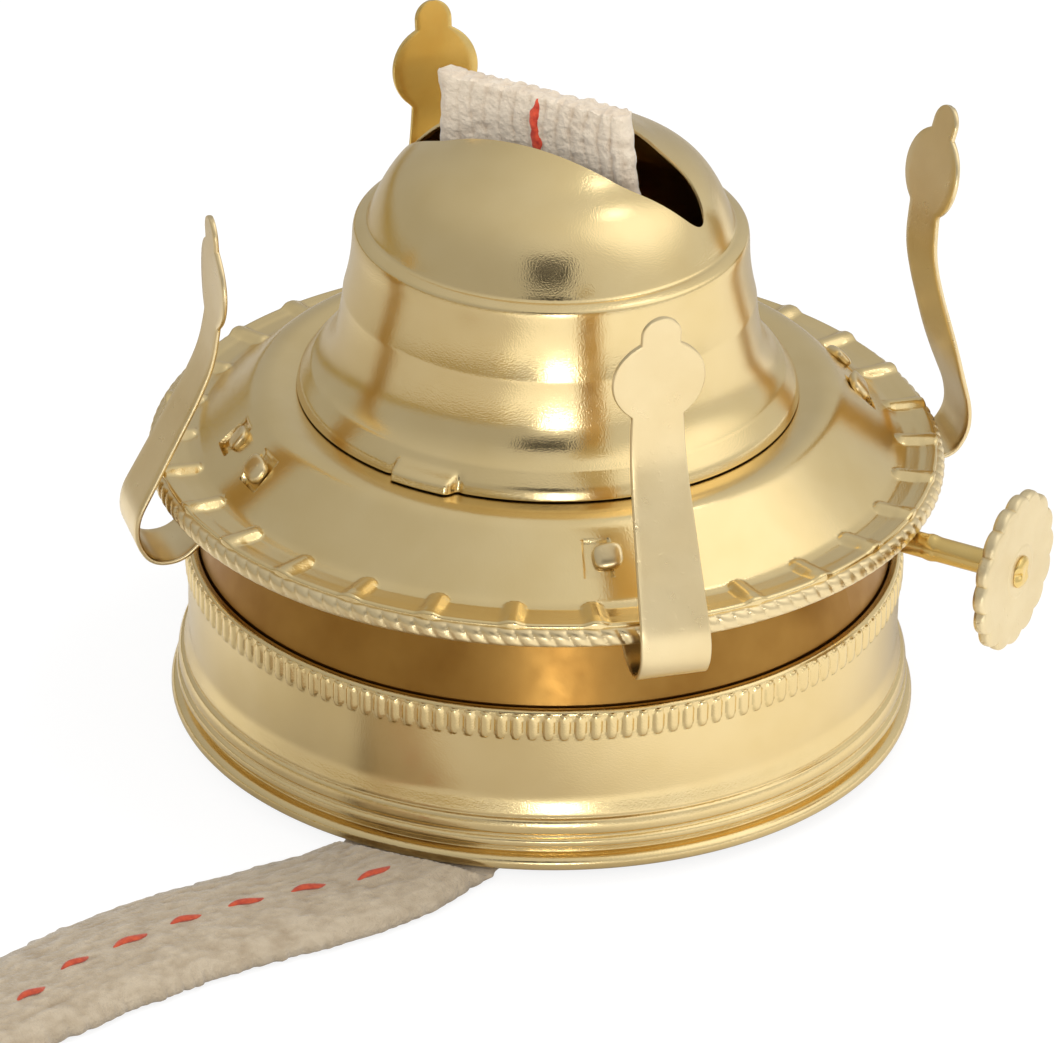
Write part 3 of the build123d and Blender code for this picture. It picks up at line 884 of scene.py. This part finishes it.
def make_thumb_wheel():
    lobes = 16
    columns_per_lobe = 24
    lobe_r = 1.9
    wheel_r = 8.0
    outline = rounded(
        [(1.24, 0.1), (6.9, 0.0, 0.3), (7.75, 0.1, 0.2), (8.0, 0.4, 0.2), (8.0, 1.1, 0.2), (7.75, 1.42, 0.2),
         (6.9, 1.5, 0.3), (2.75, 1.5, 0.1), (2.55, 1.58, 0.1), (2.1, 1.55, 0.1), (1.24, 1.5)],
        0.2,
    )
    outline = dense(outline, 0.5)
    outline[:, 1] += THUMB_X

    def scallops(angle, r, x):
        half_pitch = pi / lobes
        turn = (angle + half_pitch) % (2 * half_pitch) - half_pitch
        centre = wheel_r - lobe_r
        edge = centre * np.cos(turn) + np.sqrt(lobe_r**2 - (centre * np.sin(turn)) ** 2)
        share = blend_in(r, 5.6, 7.6)
        return (edge - wheel_r) * share, 0.0 * r * turn

    grid = along_x(turned(outline, lobes * columns_per_lobe, scallops), SPINDLE_Y, SPINDLE_Z)
    new_piece("scalloped_wheel", grid, skin(grid, wrap_rows=True), "spindle", WHEEL,
              ["thumb_wheel"])


# Wick --------------------------------------------------------------------------------------

WICK_X = -1.4
WICK_LOW = 15.8
WICK_TOP = 65.2


def wick_section(half_width, half_thick, across_steps):
    """(side, out) points round a flat wick's section, with round selvedges."""
    side = np.linspace(-1.0, 1.0, across_steps)
    bend = np.radians([65.0, 32.0, 0.0, -32.0, -65.0])
    inner = half_width - half_thick
    front = np.stack([side * inner, np.full(across_steps, half_thick)], axis=1)
    right = np.stack([inner + half_thick * np.cos(bend), half_thick * np.sin(bend)], axis=1)
    return np.concatenate([front, right, front[::-1] * (1, -1), right[::-1] * (-1, 1)])


def yarn_relief(side, along, seed):
    """Height, from 0 to 1, of the plump yarns that run along the wick."""
    pitch = 1.57
    lean = 0.22 * np.sin(along * 0.9 + seed) + 0.3 * ripple(side, along, seed + 0.0 * side, 3.0)
    column = (side + lean) / pitch
    number = np.floor(column)
    across = np.abs(column - number - 0.5) * 2.0
    return np.sqrt(np.clip(1.0 - across**2.4, 0.0, 1.0))


def make_wick():
    section = wick_section(10.9, WICK_THICK / 2, 120)
    heights = np.concatenate([np.arange(WICK_LOW, 50.0, 1.6), np.arange(50.0, WICK_TOP - 0.5, 0.16)])
    heights = np.append(heights, WICK_TOP)
    side = section[None, :, 0] + 0.0 * heights[:, None]
    out = section[None, :, 1] + 0.0 * heights[:, None]
    z = heights[:, None] + 0.0 * side
    face = np.sign(out)
    yarn = yarn_relief(side + 7.0 * face, z, 2.0)
    visible = blend_in(z, 50.0, 53.0)
    fluff = ripple(side, z, out * 3.0, 0.9) + 0.5 * ripple(side, z, out * 3.0, 0.4)
    out = out + face * visible * (0.24 * (yarn - 0.75) + 0.17 * fluff)
    share = blend_in(z, WICK_TOP - 9.0, WICK_TOP)
    wavy = 0.35 * ripple(side * 0.0, z, 0.0 * z + 4.0, 1.6) * visible
    worn = 1.1 * blend_in(side, 6.5, 10.5) * share + wavy
    right_edge = worn * blend_in(side, 6.0, 10.5)
    left_edge = worn * 0.5 * blend_in(-side, 8.0, 10.5)
    side = side - np.where(side > 0.0, right_edge, left_edge)
    flare = blend_in(z, WICK_TOP - 2.5, WICK_TOP)
    side = side - 0.4 * flare * blend_in(-side, 8.5, 10.8)
    ragged = 0.28 * ripple(side, 0.0 * z, out, 1.1) + 0.20 * ripple(side, 0.0 * z, out, 0.45)
    z = z + ragged * blend_in(z, WICK_TOP - 1.4, WICK_TOP)
    # Painted shade, kept in the depth attribute: darker between the yarns and in the hollows of the fluff,
    # and darker lower down, towards the slot.
    shade_below = 0.3 * (1.0 - blend_in(z - 0.12 * side, 55.5, 60.5))
    painted_shades = np.where(visible > 0.0, 0.38 + 0.42 * yarn + 0.2 * fluff - shade_below, 0.5)
    rows = [np.stack([side + WICK_X, -out, z], axis=-1)]
    painted_shade_rows = [painted_shades]
    top = rows[0][-1].copy()
    for shrink, rise in ((0.80, 0.10), (0.5, 0.16), (0.15, 0.12), (0.0, 0.10)):
        ring = top.copy()
        ring[:, 1] *= shrink
        lump = ripple(ring[:, 0], ring[:, 1], np.full(len(ring), 7.0), 0.6)
        crest = WICK_TOP + 0.25 * ripple(ring[:, 0], 0.0 * lump, 3.0 + 0.0 * lump, 1.2)
        ring[:, 2] = shrink * ring[:, 2] + (1.0 - shrink) * crest + rise + 0.16 * lump
        rows.append(ring[None])
        # Painted shade on the wick's top: darker between its lumps.
        painted_shade_rows.append((0.62 + 0.25 * lump)[None])
    grid = np.concatenate(rows)
    faces = skin(grid)
    faces.append(tuple(range(grid.shape[1]))[::-1])
    new_piece("wick_woven", grid, faces, "wick", COTTON, ["wick"], sharp=80.0,
              painted_shades=np.concatenate(painted_shade_rows))


def stitch(points, normals, sides, half_width, height):
    """A plump stitch of red thread along a line: rows of points, with pointed ends."""
    count = len(points)
    rows = []
    for i in range(count):
        taper = sin(pi * (0.04 + 0.92 * i / (count - 1))) ** 0.6
        ring = []
        for k in range(10):
            a = 2 * pi * k / 10
            aside = sides[i] * (half_width[i] * taper * cos(a))
            ring.append(points[i] + aside + normals[i] * (height * taper * sin(a)))
        rows.append(ring)
    return np.array(rows)


def joined(grids):
    """Several closed tubes of points as one list of points and faces, with their ends filled."""
    points = []
    faces = []
    start = 0
    for grid in grids:
        count, width = grid.shape[:2]
        faces += [tuple(start + k for k in quad) for quad in skin(grid)]
        faces.append(tuple(start + k for k in range(width)))
        faces.append(tuple(start + (count - 1) * width + k for k in range(width)))
        points.append(grid.reshape(-1, 3))
        start += count * width
    return np.concatenate(points), faces


def make_wick_tracer():
    grids = []
    for low, high in ((58.3, 65.25), (51.6, 56.4)):
        z = np.linspace(low, high, 34)
        x = -1.3 + 0.22 * np.sin((z - low) * 1.05) + 0.05 * np.sin(z * 5.0)
        points = np.stack([x, np.full_like(z, -1.22), z], axis=1)
        normals = np.tile([0.0, -1.0, 0.0], (len(z), 1))
        sides = np.tile([1.0, 0.0, 0.0], (len(z), 1))
        half = 0.52 + 0.12 * np.sin(z * 2.1)
        grids.append(stitch(points, normals, sides, half, 0.24))
    points, faces = joined(grids)
    new_piece("wick_tracer_thread", points, faces, "wick", RED)


def tail_centreline():
    """Points along the loose wick's smooth centreline, in millimetres."""
    data = bpy.data.curves.new("tail_route", "CURVE")
    data.dimensions = "3D"
    spline = data.splines.new("NURBS")
    spline.points.add(len(TAIL_ROUTE) - 1)
    for point, place in zip(spline.points, TAIL_ROUTE):
        point.co = (*place, 1.0)
    spline.order_u = 3
    spline.use_endpoint_u = True
    spline.resolution_u = 40
    carrier = bpy.data.objects.new("tail_route", data)
    line = bpy.data.meshes.new_from_object(carrier)
    points = np.array([v.co for v in line.vertices])
    bpy.data.objects.remove(carrier)
    return points / MM


def tail_frames(line):
    """Directions along, across and out of the loose wick's upper face at each point."""
    along = np.gradient(line, axis=0)
    along /= np.linalg.norm(along, axis=1)[:, None]
    across = np.cross([0.0, 0.0, 1.0], along)
    across /= np.linalg.norm(across, axis=1)[:, None]
    return along, across, np.cross(along, across)


def tail_half_width(distance):
    """Spread by the tube at first, then slack and narrower."""
    spread = 1.0 - blend_in(distance, 4.0, 26.0)
    return TAIL_WIDTH / 2 + (TUBE_WICK_WIDTH - TAIL_WIDTH) / 2 * spread


def rim_limit(x, y):
    """The height under which the wick is squeezed where it passes below the collar's rim."""
    radius = np.hypot(x, y)
    return -0.08 + 2.8 * (blend_in(radius, 37.3, 40.4) + blend_in(-radius, -34.0, -30.0))


def make_wick_tail():
    path = tail_centreline()
    line = resampled(path, 520)
    along, across, normal = tail_frames(line)
    distance = np.linspace(0.0, np.linalg.norm(np.diff(path, axis=0), axis=1).sum(), len(line))
    half = tail_half_width(distance)
    middle = 0.55 * blend_in(distance, 30.0, 48.0)
    slack = blend_in(distance, 8.0, 26.0)
    top_steps = 84
    bottom_steps = 30
    share_top = np.linspace(-1.0, 1.0, top_steps)
    share_bottom = np.linspace(1.0, -1.0, bottom_steps + 2)[1:-1]
    share = np.concatenate([share_top, share_bottom])
    is_top = np.arange(len(share)) < top_steps
    side = share[None, :] * (half - middle)[:, None] + 0.9 * middle[:, None]
    run = distance[:, None] + 0.0 * side
    side = side * (1.0 - 0.12 * blend_in(run, 70.0, 90.0) * (side > 0.0))
    round_edge = np.clip(1.0 - np.abs(share) ** 5, 0.0, 1.0) ** 0.5
    crown = (2.25 * slack[:, None] + 1.2 * (1.0 - slack[:, None])) * (1.0 - 0.30 * slack[:, None] * share**2)
    top_height = -0.35 + (crown + 0.35) * round_edge
    bottom_height = -0.35 - 0.83 * round_edge
    height = np.where(is_top, top_height, bottom_height)
    skew = run + 0.5 * side
    bumps = ripple(side / 0.75, skew / 1.9, 0.0 * run, 1.3)
    lumps = ripple(side, run, 5.0 + 0.0 * run, 2.6)
    fluff = ripple(side / 0.75, skew / 1.5, 3.0 + 0.0 * run, 0.62)
    beside_tracer = 1.0 - 0.7 * np.exp(-(((side - 1.3) / 1.0) ** 2))
    relief = (0.20 * bumps + 0.10 * lumps + 0.13 * fluff) * beside_tracer
    height = height + is_top * round_edge * slack[:, None] * relief
    nubs = ripple(run * 1.0, np.sign(side) * 9.0, 0.0 * run, 1.0)
    wander = ripple(run * 1.0, np.sign(side) * 5.0, 0.0 * run, 4.5)
    selvedge = blend_in(np.abs(share), 0.80, 1.0) * slack[:, None]
    side = side + np.sign(side) * selvedge * (0.5 * nubs + 0.45 * wander)
    points = line[:, None, :] + across[:, None, :] * side[..., None] + normal[:, None, :] * height[..., None]
    limit = rim_limit(points[..., 0], points[..., 1])
    points[..., 2] = np.where(points[..., 1] < -9.0, np.minimum(points[..., 2], limit), points[..., 2])
    points[..., 2] = np.maximum(points[..., 2], FLOOR_Z)
    # Painted shade: darker in the hollows of the bumps, lumps and fluff, and lighter along one edge.
    painted_shades = 0.52 + 0.26 * bumps + 0.10 * lumps + 0.26 * fluff + 0.12 * blend_in(share, 0.5, 1.0)
    faces = skin(points)
    width = points.shape[1]
    faces.append(tuple(range(width)))
    faces.append(tuple((len(points) - 1) * width + k for k in range(width)))
    tail = new_piece("wick_loose_end", points, faces, "base", TAIL_COTTON, ["wick_tail"],
                     sharp=80.0, painted_shades=painted_shades)
    tracer = make_tail_tracer(line, across, distance)


def make_tail_tracer(line, across, distance):
    """Red stitches that show at even spaces along the loose wick's upper face."""
    grids = []
    up = np.array([0.0, 0.0, 1.0])
    first = 48.1
    count = int((distance[-1] - first) / STITCH_PITCH)
    rng = np.random.default_rng(7)
    for i in range(count):
        middle = first + STITCH_PITCH * i
        length = 3.3 + 0.8 * rng.random()
        wobble = 0.4 * (rng.random() - 0.5)
        slant = 0.6 * (rng.random() - 0.5)
        s = np.linspace(middle - length / 2, middle + length / 2, 16)
        place = np.stack([np.interp(s, distance, line[:, k]) for k in range(3)], axis=1)
        aside = np.stack([np.interp(s, distance, across[:, k]) for k in range(3)], axis=1)
        share = (s - s[0]) / length
        drift = 1.5 * (1.0 - blend_in(middle, 44.0, 58.0)) + 1.5 * blend_in(middle, 82.0, 90.0)
        offset = 0.95 + drift + wobble + slant * (share - 0.5) + 0.16 * np.sin(2 * pi * share)
        arch = 2.16 + 0.22 * np.sin(pi * share)
        points = place + aside * offset[:, None] + up * arch[:, None]
        normals = np.tile(up, (len(s), 1))
        half = np.full(len(s), 0.36 + 0.06 * rng.random())
        grids.append(stitch(points, normals, aside, half, 0.3))
    points, faces = joined(grids)
    return new_piece("wick_tail_tracer_thread", points, faces, "base", TAIL_RED)


# Assembly ----------------------------------------------------------------------------------


def paint_cad_nodes():
    """Gives the inner parts, which keep their CAD shapes, brass darkened with painted shade."""
    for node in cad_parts.values():
        node.data.materials.clear()
        node.data.materials.append(PLAIN_BRASS_PAINTED_SHADE)


add_camera()
make_wick_tail()
light_scene()
make_collar()
make_gallery_plate()
make_corded_rim()
make_dome()
for prong_number in (1, 2, 3, 4):
    make_prong(prong_number)
make_spindle()
make_thumb_wheel()
make_wick()
make_wick_tracer()
paint_cad_nodes()
